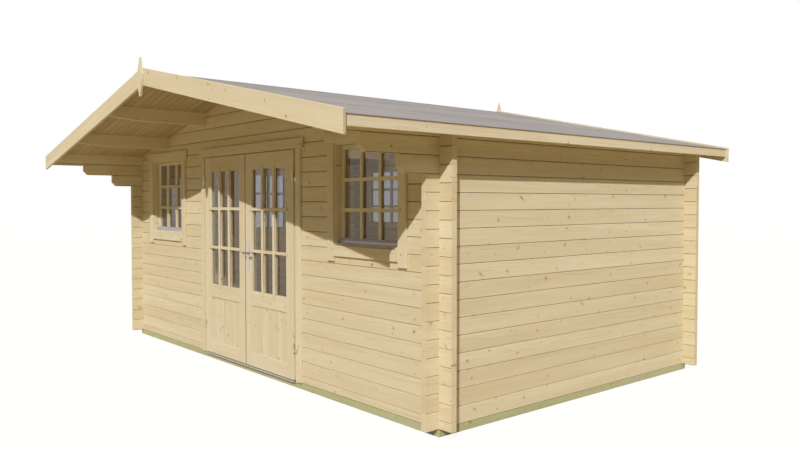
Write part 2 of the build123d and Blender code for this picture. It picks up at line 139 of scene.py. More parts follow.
# Softwood: knots lie in cells, in metres along, up and through a board, and noise repeats to the metre
knot_cell = (0.26, 0.085, 1.4)
knot_least_strength = 0.45
knot_size_power = 2.5
knot_round_share = 0.8
knot_drawn_out = 0.3
knot_slant = 0.7
knot_edge_noise = (90.0, 140.0, 140.0)
knot_edge_span = (0.25, 0.75)
knot_edge_shares = (0.65, 1.4)
knot_core_share = 0.5
knot_core_depth = 0.85
knot_halo_reach = 3.2
knot_halo_depth = 0.24
knot_halo_colour = srgb(186, 146, 84)
knot_ring_bend = 0.006
pith_noise = (1.1, 7.0, 7.0)
pith_wander = (0.0, 0.03, 0.03)
late_wood_power = 3.0
fibre_noise = (3.0, 170.0, 170.0)
cloud_noise = (0.7, 11.0, 11.0)
grain_base = -0.505
late_weight = 0.36
fibre_weight = 0.55
cloud_weight = 0.95
tone_weight = 0.34
wood_roughness = (0.78, 0.62)
wood_gloss = 0.3
grain_relief = 0.0004
late_relief_share = 0.5


def knots(tree, grain, share, sizes):
    """How far each point belongs to a knot's core, and to the bent grain round it."""
    scaled = vectors(tree, "DIVIDE", grain, knot_cell)
    cells = put(tree, "TexVoronoi", {"Vector": scaled, "Scale": 1.0})
    offset = vectors(tree, "SUBTRACT", scaled, cells.outputs["Position"])
    offset = put(tree, "SeparateXYZ", {0: vectors(tree, "MULTIPLY", offset, knot_cell)}).outputs
    chance = put(tree, "SeparateColor", {0: cells.outputs["Color"]}).outputs
    present = maths(tree, "LESS_THAN", chance[0], share)
    strength = remap(tree, chance[0], 0.0, share, 1.0, knot_least_strength)
    strength = maths(tree, "MULTIPLY", present, strength)
    size_share = maths(tree, "POWER", chance[1], knot_size_power)
    radius = remap(tree, size_share, 0.0, 1.0, *sizes)
    drawn_out = remap(tree, chance[2], knot_round_share, 1.0, 1.0, knot_drawn_out)
    run = maths(tree, "MULTIPLY", offset[0], drawn_out)
    slant = remap(tree, chance[2], 0.0, 1.0, -knot_slant, knot_slant)
    climb = maths(tree, "MULTIPLY_ADD", offset[0], slant, offset[1])
    ragged = remap(tree, noise(tree, grain, knot_edge_noise)[0], *knot_edge_span, *knot_edge_shares)
    distance = length(tree, put(tree, "CombineXYZ", {0: run, 1: climb}).outputs[0])
    distance = maths(tree, "MULTIPLY", distance, ragged)
    core = remap(tree, distance, maths(tree, "MULTIPLY", radius, knot_core_share), radius, 1.0, 0.0)
    reach = maths(tree, "MULTIPLY", radius, knot_halo_reach)
    halo = remap(tree, distance, radius, reach, 1.0, 0.0, "SMOOTHSTEP")
    return maths(tree, "MULTIPLY", core, strength), maths(tree, "MULTIPLY", halo, present)


def wood(name, pale, deep, ring_width=0.0042, knot_share=0.42, knot_sizes=(0.004, 0.011),
         knot_colour=srgb(92, 66, 32), end_share=0.15, end_colour=srgb(200, 168, 112), joint_shade_share=0.96,
         joint_shade_colour=srgb(112, 82, 42)):
    """Planed softwood: rings about a wandering pith, fibres, knots and end grain, with painted shade and
    some dirt darkening the joint faces.
    """
    material, tree, shader = new_material(name)
    grain = put(tree, "Attribute", attribute_name="grain").outputs["Vector"]
    core, halo = knots(tree, grain, knot_share, knot_sizes)

    wander = vectors(tree, "SUBTRACT", noise(tree, grain, pith_noise)[1], (0.5, 0.5, 0.5))
    shift = vectors(tree, "MULTIPLY", wander, pith_wander)
    across = vectors(tree, "MULTIPLY", vectors(tree, "ADD", grain, shift), (0.0, 1.0, 1.0))
    depth = maths(tree, "MULTIPLY_ADD", halo, knot_ring_bend, length(tree, across))
    ring = maths(tree, "FRACT", maths(tree, "DIVIDE", depth, ring_width))
    late = maths(tree, "POWER", ring, late_wood_power)
    fibre = noise(tree, grain, fibre_noise, detail=3.0, roughness=0.6)[0]
    cloud = noise(tree, grain, cloud_noise, detail=3.0, roughness=0.6)[0]

    amount = maths(tree, "MULTIPLY_ADD", late, late_weight, grain_base)
    amount = maths(tree, "MULTIPLY_ADD", fibre, fibre_weight, amount)
    amount = maths(tree, "MULTIPLY_ADD", cloud, cloud_weight, amount)
    amount = maths(tree, "MULTIPLY_ADD", marked(tree, "tone"), tone_weight, amount)
    colour = mixed(tree, amount, pale, deep)
    # Knot colours, end grain, then the joint faces, darkened by painted shade with some dirt in the joints
    for part, share, over in (
            (halo, knot_halo_depth, knot_halo_colour),
            (core, knot_core_depth, knot_colour),
            (marked(tree, "end"), end_share, end_colour),
            (marked(tree, "joint_dirt_and_shade"), joint_shade_share, joint_shade_colour)):
        colour = mixed(tree, maths(tree, "MULTIPLY", part, share), colour, over)
    tree.links.new(colour, shader.inputs["Base Color"])
    tree.links.new(remap(tree, late, 0.0, 1.0, *wood_roughness), shader.inputs["Roughness"])
    shader.inputs["Specular IOR Level"].default_value = wood_gloss
    height = maths(tree, "MULTIPLY_ADD", late, late_relief_share, maths(tree, "ADD", fibre, core))
    bump(tree, shader, height, distance=grain_relief, strength=0.5)
    return material


# Metal, felt and glass
metal_cloud_noise = (30.0, 30.0, 30.0)
metal_line_span = (0.3, 0.7)
metal_smoother = 0.08
metal_rougher = 0.1
metal_relief = 0.0001
felt_grit_scale = 420.0
felt_cloud_noise = (1.3, 0.5, 1.3)
felt_streak_noise = (1.6, 11.0, 1.6)
felt_wear_base = -0.55
felt_cloud_weight = 0.9
felt_streak_weight = 0.8
felt_tone_weight = 0.4
felt_roughness = (0.85, 0.97)
felt_relief = 0.0008
glass_ripple_noise = (2.0, 2.0, 2.0)
glass_ripple_depth = 0.002
glass_light_tint = (0.97, 0.97, 0.97, 1.0)
glass_eye_tint = (0.70, 0.70, 0.71, 1.0)
glass_mirror_tint = (0.95, 0.97, 1.0, 1.0)
glass_index = 1.45


def metal(name, colour, dark, rough, drawn, metallic=1.0):
    """Satin metal, bare or thinly coated, with fine drawn lines and soft cloudy wear."""
    material, tree, shader = new_material(name)
    place = put(tree, "TexCoord").outputs["Object"]
    lines = noise(tree, place, drawn, detail=3.0, roughness=0.7)[0]
    cloud = noise(tree, place, metal_cloud_noise, detail=3.0)[0]
    roughness = remap(tree, lines, *metal_line_span, rough - metal_smoother, rough + metal_rougher)
    tree.links.new(mixed(tree, cloud, dark, colour), shader.inputs["Base Color"])
    tree.links.new(roughness, shader.inputs["Roughness"])
    shader.inputs["Metallic"].default_value = metallic
    bump(tree, shader, lines, distance=metal_relief, strength=0.3)
    return material


def felt_material():
    """Bitumen felt with a mineral grit surface, weather streaks and a tone for each course."""
    material, tree, shader = new_material("mineral_felt")
    place = put(tree, "TexCoord").outputs["Object"]
    grit = put(tree, "TexVoronoi", {"Vector": place, "Scale": felt_grit_scale})
    shade = put(tree, "SeparateColor", {0: grit.outputs["Color"]}).outputs[0]
    cloud = noise(tree, place, felt_cloud_noise, detail=4.0, roughness=0.6)[0]
    streak = noise(tree, place, felt_streak_noise, detail=4.0, roughness=0.65)[0]
    wear = maths(tree, "MULTIPLY_ADD", cloud, felt_cloud_weight, felt_wear_base)
    wear = maths(tree, "MULTIPLY_ADD", streak, felt_streak_weight, wear)
    wear = maths(tree, "MULTIPLY_ADD", marked(tree, "tone"), felt_tone_weight, wear)
    colour = mixed(tree, shade, srgb(138, 132, 129), srgb(169, 161, 157))
    colour = mixed(tree, wear, colour, srgb(126, 121, 119))
    tree.links.new(colour, shader.inputs["Base Color"])
    tree.links.new(remap(tree, shade, 0.0, 1.0, *felt_roughness), shader.inputs["Roughness"])
    bump(tree, shader, grit.outputs["Distance"], distance=felt_relief, strength=0.5)
    return material


def glass_material():
    """Sheet glass that lets light in, looks a little dim from outside and mirrors the studio."""
    material, tree, shader = new_material("sheet_glass")
    place = put(tree, "TexCoord").outputs["Object"]
    ripple = noise(tree, place, glass_ripple_noise, detail=1.0)[0]
    waves = {"Height": ripple, "Distance": glass_ripple_depth, "Strength": 0.15}
    waves = put(tree, "Bump", waves).outputs[0]
    seen = put(tree, "LightPath").outputs["Is Camera Ray"]
    clear = put(tree, "BsdfTransparent", {"Color": mixed(tree, seen, glass_light_tint, glass_eye_tint)})
    mirror = put(tree, "BsdfGlossy", {"Color": glass_mirror_tint, "Roughness": 0.02, "Normal": waves})
    outward = maths(tree, "SUBTRACT", 1.0, put(tree, "NewGeometry").outputs["Backfacing"])
    share = maths(tree, "MULTIPLY", put(tree, "Fresnel", {"IOR": glass_index}).outputs[0], outward)
    both = put(tree, "MixShader", {0: share, 1: clear.outputs[0], 2: mirror.outputs[0]})
    tree.nodes.remove(shader)
    tree.links.new(both.outputs[0], tree.nodes["Material Output"].inputs["Surface"])
    return material


# Materials of the cabin
# Logs: the joint colour is a near-black painted shadow on the joint faces that look down
log_wood = wood("log_spruce", srgb(224, 215, 187), srgb(200, 182, 144), knot_share=0.37,
                joint_shade_colour=srgb(58, 40, 18))
board_wood = wood("board_spruce", srgb(223, 215, 190), srgb(202, 185, 149), 0.005, 0.36, end_share=0.5,
                  end_colour=srgb(176, 144, 94))
joinery_wood = wood("joinery_spruce", srgb(222, 214, 188), srgb(202, 186, 151), 0.0035, 0.3, (0.003, 0.009))
panel_wood = wood("panel_spruce", srgb(222, 214, 188), srgb(202, 186, 151), 0.0035, 0.7, (0.006, 0.012),
                  joint_shade_share=0.45)
# A darker copy of the board spruce for the roof boards, seen only from below in shade: painted shade
roof_wood_painted_shade = wood("roof_spruce_painted_shade", srgb(190, 174, 138), srgb(164, 142, 102), 0.005, 0.4, joint_shade_share=0.9)
floor_wood = wood("floor_spruce", srgb(214, 196, 156), srgb(186, 158, 110), 0.005, 0.45)
treated_wood = wood("treated_timber", srgb(187, 187, 149), srgb(160, 160, 116), 0.005, 0.3,
                    knot_colour=srgb(100, 92, 50), end_colour=srgb(150, 150, 100),
                    joint_shade_colour=srgb(140, 138, 90))
# Dark wood for the bead that paints the shadow in the gap between the door leaves
gap_shade_bead_wood = wood("gap_shade_bead_spruce", srgb(166, 136, 90), srgb(138, 108, 66), 0.003, 0.0)
felt_grey = felt_material()
clear_glass = glass_material()
strip_lines = (8.0, 900.0, 900.0)
plate_lines = (300.0, 300.0, 40.0)
handle_lines = (40.0, 400.0, 400.0)
strip_metal = metal("aluminium_strip", (0.46, 0.44, 0.48, 1), (0.38, 0.36, 0.40, 1), 0.45, strip_lines, 0.3)
sill_metal = metal("threshold_strip", (0.56, 0.52, 0.49, 1), (0.48, 0.44, 0.41, 1), 0.46, strip_lines, 0.5)
zinc_metal = metal("zinc_plate", (0.60, 0.52, 0.36, 1), (0.50, 0.43, 0.29, 1), 0.52, plate_lines, 0.5)
nickel_metal = metal("satin_nickel", (0.67, 0.62, 0.57, 1), (0.59, 0.54, 0.49, 1), 0.40, handle_lines)
lever_metal = metal("dark_nickel", (0.30, 0.29, 0.29, 1), (0.20, 0.19, 0.19, 1), 0.34, handle_lines)

# How meshes are welded and where their edges count as sharp
weld_distance = 0.00001
flat_angle = math.radians(0.5)
sharp_angle = math.radians(30)

# Which faces are ends, bevels or eased ends, by the cosine of their lean along and up a board
square_lean = 0.95
end_lean = 0.75
bevel_lean = 0.3
bevel_tilts = (0.3, 0.95)
small_face = 0.0005
eased_leans = (0.6, 0.8)
# Painted shade on the eased bevels at board ends
eased_end_shade = 0.25
upright_lean = 0.9

# How dark the painted shade is on joint faces that look down and on those that look up: logs darken almost
# only the faces that look down, where shade falls
log_joint_shades = (1.0, 0.06)
board_joint_shades = (0.5, 0.5)

# Where in its tree each board is cut, as ranges along, up and through it
cut_along = (0, 900)
cut_up = (-0.03, 0.03)
cut_through = (0.01, 0.07)

# Share of the radius and of the height at each ring of a nail or screw head
head_rings = ((1.0, 0.0), (0.8, 1.0), (0.35, 0.55))
head_height_share = 0.35
head_sides = 10


# Mesh helpers
def add_loft(mesh, *outlines):
    """A closed solid through two or more like outlines."""
    rows = [[mesh.verts.new(point) for point in outline] for outline in outlines]
    mesh.faces.new(rows[0])
    mesh.faces.new(list(reversed(rows[-1])))
    for first, second in zip(rows, rows[1:]):
        for k in range(len(first)):
            after = (k + 1) % len(first)
            mesh.faces.new((first[k], second[k], second[after], first[after]))


def add_box(mesh, low, high):
    corners = [(low[0], low[1]), (high[0], low[1]), (high[0], high[1]), (low[0], high[1])]
    add_loft(mesh, [(x, y, low[2]) for x, y in corners], [(x, y, high[2]) for x, y in corners])


def add_head(mesh, centre, normal, radius):
    """A nail or screw head: a low rim round a sunk middle."""
    out = Vector(normal).normalized()
    one = out.orthogonal().normalized()
    two = out.cross(one)
    height = radius * head_height_share
    turn = 2 * math.pi / head_sides
    rings = []
    for share, lift in head_rings:
        middle = Vector(centre) + out * height * lift
        rings.append([
            mesh.verts.new(middle + (one * math.cos(k * turn) + two * math.sin(k * turn)) * radius * share)
            for k in range(head_sides)
        ])
    for lower, upper in zip(rings, rings[1:]):
        for k in range(head_sides):
            after = (k + 1) % head_sides
            mesh.faces.new((lower[k], lower[after], upper[after], upper[k]))
    mesh.faces.new(rings[-1])
    mesh.faces.new(list(reversed(rings[0])))


def islands(mesh):
    """The separate solids of a mesh, as lists of vertices."""
    seen = set()
    groups = []
    for start in mesh.verts:
        if start in seen:
            continue
        seen.add(start)
        group = [start]
        for vert in group:
            for edge in vert.link_edges:
                other = edge.other_vert(vert)
                if other not in seen:
                    seen.add(other)
                    group.append(other)
        groups.append(group)
    return groups


def grain_axes(group):
    """Unit vectors along a board, up its wide face and through it."""
    edges = {edge for vert in group for edge in vert.link_edges}
    longest = max(edges, key=lambda edge: round(edge.calc_length(), 5))
    along = (longest.verts[1].co - longest.verts[0].co).normalized()
    if along[max(range(3), key=lambda axis: abs(along[axis]))] < 0:
        along = -along
    guide = Vector((1, 0, 0)) if abs(along.z) > upright_lean else Vector((0, 0, 1))
    up = (guide - along * guide.dot(along)).normalized()
    return along, up, along.cross(up)


def mark_grain(mesh, joint_shades):
    """Give each board its own grain coordinates, tone, end grain and the painted shade on its joint faces.

    The last argument gives how dark the painted shade is on joint faces that look down and on those that
    look up, or None."""
    grain = mesh.verts.layers.float_vector.new("grain")
    tone = mesh.verts.layers.float.new("tone")
    end = mesh.faces.layers.float.new("end")
    joint_dirt_and_shade = mesh.faces.layers.float.new("joint_dirt_and_shade")
    for group in islands(mesh):
        along, up, through = grain_axes(group)
        middle = sum((vert.co for vert in group), Vector()) / len(group)
        start = Vector((dice.uniform(*cut_along), dice.uniform(*cut_up), dice.uniform(*cut_through)))
        shade = dice.random()
        for vert in group:
            place = vert.co - middle
            vert[grain] = start + Vector((place.dot(along), place.dot(up), place.dot(through)))
            vert[tone] = shade
        for face in {face for vert in group for face in vert.link_faces}:
            lean = abs(face.normal.dot(along))
            tilt = face.normal.dot(up)
            face[end] = 1.0 if lean > end_lean else 0.0
            slanted = bevel_tilts[0] < abs(tilt) < bevel_tilts[1]
            # Painted shade: joint bevels that look down take the first darkness, those that look up the
            # second, and eased ends a fixed share
            if joint_shades and slanted and (lean < bevel_lean or face.calc_area() < small_face):
                face[joint_dirt_and_shade] = joint_shades[0] if tilt < 0 else joint_shades[1]
            elif joint_shades and eased_leans[0] < lean < eased_leans[1]:
                face[joint_dirt_and_shade] = eased_end_shade


def bevel(mesh, edges, width):
    bmesh.ops.bevel(mesh, geom=edges, offset=width, segments=1, profile=0.5, affect="EDGES",
                    clamp_overlap=True)


def soften(mesh, width):
    """Break the sharp edges of a mesh."""
    edges = [edge for edge in mesh.edges if edge.is_manifold and edge.calc_face_angle() > sharp_angle]
    bevel(mesh, edges, width)


def ease_ends(mesh, width):
    """Bevel the upper and lower edges of log ends, so that the joints between logs show there."""
    chosen = []
    for group in islands(mesh):
        along, up, _ = grain_axes(group)
        for edge in {edge for vert in group for edge in vert.link_edges if edge.is_manifold}:
            leans = [abs(face.normal.dot(along)) for face in edge.link_faces]
            tilts = [abs(face.normal.dot(up)) for face in edge.link_faces]
            if max(leans) > square_lean and max(tilts) > square_lean:
                chosen.append(edge)
    chosen.sort(key=lambda edge: edge.index)
    bevel(mesh, chosen, width)


def add_object(name, data):
    made = bpy.data.objects.new(name, data)
    bpy.context.scene.collection.objects.link(made)
    return made


def finish_piece(name, mesh, material, body, stands_for=(), edge=0.0, joint_shades=None):
    """Turn a finished mesh into a named piece on its body."""
    bmesh.ops.recalc_face_normals(mesh, faces=mesh.faces)
    if edge:
        soften(mesh, edge)
    mark_grain(mesh, joint_shades)
    for face in mesh.faces:
        face.smooth = False
    data = bpy.data.meshes.new(name)
    mesh.to_mesh(data)
    mesh.free()
    data.materials.append(material)
    piece = add_object(name, data)
    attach(piece, body)
    if stands_for:
        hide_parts(*stands_for)


def node_mesh(node):
    """A welded copy of a node's mesh with flat faces joined."""
    mesh = bmesh.new()
    mesh.from_mesh(nodes[node].data)
    bmesh.ops.remove_doubles(mesh, verts=mesh.verts, dist=weld_distance)
    bmesh.ops.dissolve_limit(mesh, angle_limit=flat_angle, verts=mesh.verts, edges=mesh.edges)
    return mesh


def stand_in(name, node, mesh, material, edge=0.0, joint_shades=None):
    """A finer mesh that stands for a node, on its body, with the material it is given."""
    finish_piece(name, mesh, material, body_of[node], [node], edge, joint_shades)


def dress(node, material, edge=0.0, joint_shades=None, mesh=None):
    """A grained copy of a node, or a reshaped one, that stands for it."""
    stand_in(f"{node}_timber", node, mesh or node_mesh(node), material, edge, joint_shades)


def paint(node, material):
    """Give its material to a node that shows as it is."""
    nodes[node].data.materials.clear()
    nodes[node].data.materials.append(material)


# Widths of the broken edges
board_edge = 0.0015
joinery_edge = 0.0012
beam_edge = 0.002
log_end_edge = 0.003

# Purlins taper at their ends, so that the barge boards hide them
purlin_taper = 0.30
purlin_taper_rise = 0.024
purlin_foot = 0.06
for node in ("ridge_purlin", "left_purlins", "right_purlins"):
    front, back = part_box(node)[0].y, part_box(node)[1].y
    mesh = node_mesh(node)
    for group in islands(mesh):
        lowest = min(vert.co.z for vert in group)
        for vert in group:
            from_end = min(vert.co.y - front, back - vert.co.y)
            inward = 1 if vert.co.y < (front + back) / 2 else -1
            if vert.co.z < lowest + close_by and from_end < purlin_taper:
                vert.co.y += inward * (purlin_taper - from_end)
            elif from_end < close_by and vert.co.z < lowest + purlin_foot:
                vert.co.z = lowest + purlin_taper_rise
    dress(node, log_wood, mesh=mesh)

# Finials a little wider than their solids, and pointed below
finial_spread_share = 1.3
finial_neck_drop = 0.180
finial_neck_half = 0.047
finial_foot_half = 0.006
for node in ("front_finial", "back_finial"):
    foot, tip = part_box(node)[0].z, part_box(node)[1].z
    neck = tip - finial_neck_drop
    mesh = node_mesh(node)
    for vert in mesh.verts:
        if vert.co.z < neck + close_by and abs(vert.co.x) > close_by:
            share = (vert.co.z - foot) / (neck - foot)
            half = finial_foot_half + share * (finial_neck_half - finial_foot_half)
            vert.co.x = math.copysign(half, vert.co.x)
        else:
            vert.co.x *= finial_spread_share
    dress(node, board_wood, board_edge, mesh=mesh)

# Logs, beams, boards, glass and metal that keep their shapes
for node, slot in slot_of.items():
    if node.endswith(("purlin", "purlins", "finial")):
        continue
    if slot == "spruce_logs":
        mesh = node_mesh(node)
        ease_ends(mesh, log_end_edge)
        dress(node, log_wood, joint_shades=log_joint_shades, mesh=mesh)
    elif slot == "spruce_boards":
        dress(node, board_wood, board_edge)
    elif slot == "treated_timber":
        dress(node, treated_wood, beam_edge)
    elif slot == "spruce_joinery" and not node.endswith("_panel"):
        dress(node, joinery_wood, joinery_edge)
    elif slot == "clear_glass":
        paint(node, clear_glass)
    elif slot == "aluminium_strip" and node != "door_threshold":
        paint(node, strip_metal)
    elif slot == "hinge_steel":
        paint(node, zinc_metal)
paint("door_handle_plates", nickel_metal)


def shared_widths(low, high, about):
    """Start and end of each of the like boards that fill a span."""
    count = max(1, round((high - low) / about))
    width = (high - low) / count
    return [(low + k * width + fit_gap, low + (k + 1) * width - fit_gap) for k in range(count)]


def board_section(start, end, depth, groove):
    """Outline of a board across its width, with a small bevel along each edge of its face at 0."""
    return [(start, depth), (end, depth), (end, groove), (end - groove, 0.0), (start + groove, 0.0),
            (start, groove)]


# Roof boards laid from ridge to eave
roof_board_width = 0.062
roof_board_thickness = 0.018
roof_board_groove = 0.003
for side, word in ((-1, "left"), (1, "right")):
    node = f"{word}_roof_boards"
    low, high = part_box(node)
    near, far = sorted((abs(low.x), abs(high.x)))
    rise = roof_board_thickness / math.cos(roof_pitch)
    mesh = bmesh.new()
    for start, end in shared_widths(low.y, high.y, roof_board_width):
        section = board_section(start, end, rise, roof_board_groove)
        ends = []
        for x in (near, far):
            under = low.z + (far - x) * slope
            ends.append([(side * x, y, under + z) for y, z in section])
        add_loft(mesh, *ends)
    stand_in(f"{word}_roof_planks", node, mesh, roof_wood_painted_shade, joint_shades=board_joint_shades)

# Floor boards along the cabin, the first notched at the doorway
floor_board_width = 0.12
floor_board_groove = 0.002
floor_edge_gap = 0.002
low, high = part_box("floor_boards")
frame_low, frame_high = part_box("door_frame")
notch_left = frame_low.x - floor_edge_gap
notch_right = frame_high.x + floor_edge_gap
notch_back = frame_high.y + floor_edge_gap
mesh = bmesh.new()
for start, end in shared_widths(low.y, high.y, floor_board_width):
    if start < notch_back:
        plan = [(low.x, start), (notch_left, start), (notch_left, notch_back), (notch_right, notch_back)]
        plan += [(notch_right, start), (high.x, start), (high.x, end), (low.x, end)]
        add_loft(mesh, [(x, y, low.z) for x, y in plan], [(x, y, high.z) for x, y in plan])
    else:
        section = board_section(start, end, high.z - low.z, floor_board_groove)
        section = [(y, high.z - z) for y, z in section]
        add_loft(mesh, [(low.x, y, z) for y, z in section], [(high.x, y, z) for y, z in section])
stand_in("floor_planks", "floor_boards", mesh, floor_wood, joint_shades=board_joint_shades)

# Roofing felt in lapped courses from eave to ridge, a little wavy where they lap
felt_thickness = 0.003
felt_course = 0.92
felt_lap = 0.09
felt_step = 0.0016
felt_spans = 40
long_wave_height = 0.0007
long_wave_pace = 9.1
long_wave_shift = 2.0
short_wave_height = 0.0005
short_wave_pace = 23.7
for side, word in ((-1, "left"), (1, "right")):
    node = f"{word}_roofing_felt"
    low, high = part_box(node)
    near, far = sorted((abs(low.x), abs(high.x)))
    rise = felt_thickness / math.cos(roof_pitch)
    step_up = felt_step / math.cos(roof_pitch)
    edges = []
    eave = far
    while eave > near + felt_lap:
        edges.append((eave, max(near, eave - felt_course)))
        eave = eave - felt_course + felt_lap
    mesh = bmesh.new()
    for course, (outer, inner) in enumerate(edges):
        lift = step_up if course else 0.0
        profile = [(outer, lift), (outer - felt_lap, lift), (outer - 2 * felt_lap, 0.0), (inner, 0.0)]
        outline = [(x, up + rise) for x, up in profile] + [(x, up) for x, up in reversed(profile)]
        rows = []
        for span in range(felt_spans + 1):
            y = low.y + (high.y - low.y) * span / felt_spans
            wave = long_wave_height * math.sin(y * long_wave_pace + course * long_wave_shift)
            wave += short_wave_height * math.sin(y * short_wave_pace + side)
            rows.append([(side * x, y, low.z + (far - x) * slope + up + (wave if up > rise else 0.0))
                         for x, up in outline])
        add_loft(mesh, *rows)
    stand_in(f"{word}_felt_courses", node, mesh, felt_grey)

# Small boards of the door panels
panel_board_width = 0.082
panel_board_groove = 0.004
for word in ("left", "right"):
    node = f"{word}_door_panel"
    low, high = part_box(node)
    mesh = bmesh.new()
    for start, end in shared_widths(low.x, high.x, panel_board_width):
        section = board_section(start, end, high.y - low.y, panel_board_groove)
        section = [(x, low.y + z) for x, z in section]
        add_loft(mesh, [(x, y, low.z) for x, y in section], [(x, y, high.z) for x, y in section])
    stand_in(f"{word}_panel_boards", node, mesh, panel_wood, joint_shades=board_joint_shades)


# Points on a wall, whose thin axis is 0 for x or 1 for y
def wall_point(thin, along, out, up):
    return (out, along, up) if thin == 0 else (along, out, up)


def wall_map(thin, plane, sign):
    """A function that gives the point at a place along, out from and up a wall's face."""
    def point(along, out, up):
        return wall_point(thin, along, plane + sign * out, up)
    return point


# Glazing bars
upright_shares = (1 / 3, 2 / 3)
level_stand_share = 0.9


def add_bars(mesh, left, right, bottom, top, stand, back, width, web, lap, level_shares, map_point):
    """Bars over a pane: uprights in one length, levels between them, each mapped to its place.

    Each has a web back to the glass and, where it stands out at all, a wider front over the web."""
    uprights = [left + share * (right - left) for share in upright_shares]
    levels = [bottom + share * (top - bottom) for share in level_shares]
    half = width / 2
    web_half = web / 2

    def bar(start, end, foot, head, front, rear):
        corners = (map_point(start, front, foot), map_point(end, rear, head))
        low = [min(pair) for pair in zip(*corners)]
        high = [max(pair) for pair in zip(*corners)]
        add_box(mesh, low, high)

    def between(start, end, reach):
        """Start and end of each stretch of a level that the uprights leave free."""
        stops = [start]
        for at in uprights:
            stops += [at - reach - fit_gap, at + reach + fit_gap]
        stops.append(end)
        return list(zip(stops[::2], stops[1::2]))

    for place in uprights:
        if stand:
            bar(place - half, place + half, bottom - lap, top + lap, stand, fit_gap)
        bar(place - web_half, place + web_half, bottom + fit_gap, top - fit_gap, 0.0, back)
    for level in levels:
        if stand:
            for start, end in between(left - lap, right + lap, half):
                bar(start, end, level - half, level + half, stand * level_stand_share, fit_gap)
        for start, end in between(left + fit_gap, right - fit_gap, web_half):
            bar(start, end, level - web_half, level + web_half, 0.0, back)


# Bars on both faces of the door panes, with the outer ones lapping onto the leaf
bar_web = 0.012
inner_bar_depth = 0.006
inner_bar_width = 0.022
door_bar_width = 0.026
door_bar_stand = 0.011
door_bar_lap = 0.026
door_level_shares = (0.333, 0.675)
glass_seat = 0.0077
for word in ("left", "right"):
    low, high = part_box(f"{word}_door_glass")
    leaf_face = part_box(f"{word}_door_leaf")[0].y
    mesh = bmesh.new()
    for plane, sign, depth, stand, web in (
            (leaf_face, -1, low.y - leaf_face, door_bar_stand, bar_web),
            (high.y + inner_bar_depth, 1, inner_bar_depth, 0.0, inner_bar_width)):
        add_bars(mesh, low.x + glass_seat, high.x - glass_seat, low.z + glass_seat, high.z - glass_seat,
                 stand, fit_gap - depth, door_bar_width, web, door_bar_lap, door_level_shares,
                 wall_map(1, plane, sign))
    finish_piece(f"{word}_door_bars", mesh, joinery_wood, f"{word}_door", edge=board_edge)

# Bars on both faces of the window panes: each window's name, its wall's thin axis and the way out
windows = (("front_left", 1, -1), ("front_right", 1, -1), ("back", 1, 1), ("left", 0, -1))
window_bar_width = 0.027
window_bar_stand = 0.001
window_level_shares = (0.325, 0.66)
for word, thin, outward in windows:
    low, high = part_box(f"{word}_window_glass")
    sash_low, sash_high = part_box(f"{word}_window_sash")
    wide = 1 - thin
    faces = (sash_low, low, high) if outward < 0 else (sash_high, high, low)
    sash_face, outer_face, inner_face = (corner[thin] for corner in faces)
    mesh = bmesh.new()
    for plane, sign, depth, stand, web in (
            (sash_face, outward, abs(outer_face - sash_face), window_bar_stand, bar_web),
            (inner_face - outward * inner_bar_depth, -outward, inner_bar_depth, 0.0, inner_bar_width)):
        add_bars(mesh, low[wide], high[wide], low.z, high.z, stand, fit_gap - depth, window_bar_width, web,
                 0.0, window_level_shares, wall_map(thin, plane, sign))
    finish_piece(f"{word}_window_bars", mesh, joinery_wood, "cabin", edge=joinery_edge)

# Rounded dark bead on the left leaf, a painted shadow that darkens the line where the leaves meet
bead_half = 0.004
bead_height = 0.0015
bead_overhang = 0.0015
bead_end_gap = 0.003
bead_spans = 6
leaf_low, leaf_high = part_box("left_door_leaf")
bead_x = leaf_high.x - bead_half + bead_overhang
bead_foot = leaf_low.z + bead_end_gap
bead_top = leaf_high.z - bead_end_gap
arc = [math.pi * k / bead_spans for k in range(bead_spans + 1)]
section = [(bead_x + bead_half * math.cos(turn), leaf_low.y - bead_height * math.sin(turn)) for turn in arc]
mesh = bmesh.new()
add_loft(mesh, [(x, y, bead_foot) for x, y in section], [(x, y, bead_top) for x, y in section])
finish_piece("left_door_gap_shade_bead", mesh, gap_shade_bead_wood, "left_door")

# Lever with softened edges
lever_edge = 0.0012
mesh = node_mesh("door_lever")
soften(mesh, lever_edge)
stand_in("turned_lever", "door_lever", mesh, lever_metal)


# Nail and screw heads
def add_heads(name, places, normal, radius, material, body):
    """Nail or screw heads on a flat face, all looking one way."""
    mesh = bmesh.new()
    for place in places:
        add_head(mesh, place, normal, radius)
    finish_piece(name, mesh, material, body)


def add_nails(name, places, normal):
    add_heads(name, places, normal, nail_radius, zinc_metal, "cabin")


def spaced(low, high, about):
    """Evenly spaced places from one end to the other."""
    count = max(1, round((high - low) / about))
    return [low + (high - low) * k / count for k in range(count + 1)]


# Nails of the door trim
nail_radius = 0.003
nail_margin = 0.04
trim_nail_pitch = 0.42
top_trim_height = 0.08
door_trim_width = 0.066
door_trim_overhang = 0.02
door_nail_heights = (0.15, 1.75)
door_nail_pitch = 0.4
low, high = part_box("door_trim")
side_x = high.x - door_trim_overhang - door_trim_width / 2
top_z = high.z - top_trim_height / 2
side_rows = spaced(*door_nail_heights, door_nail_pitch)
top_row = spaced(low.x + nail_margin, high.x - nail_margin, trim_nail_pitch)
places = [(side * side_x, low.y, z) for side in (-1, 1) for z in side_rows]
places += [(x, low.y, top_z) for x in top_row]
add_nails("door_trim_nails", places, (0, -1, 0))

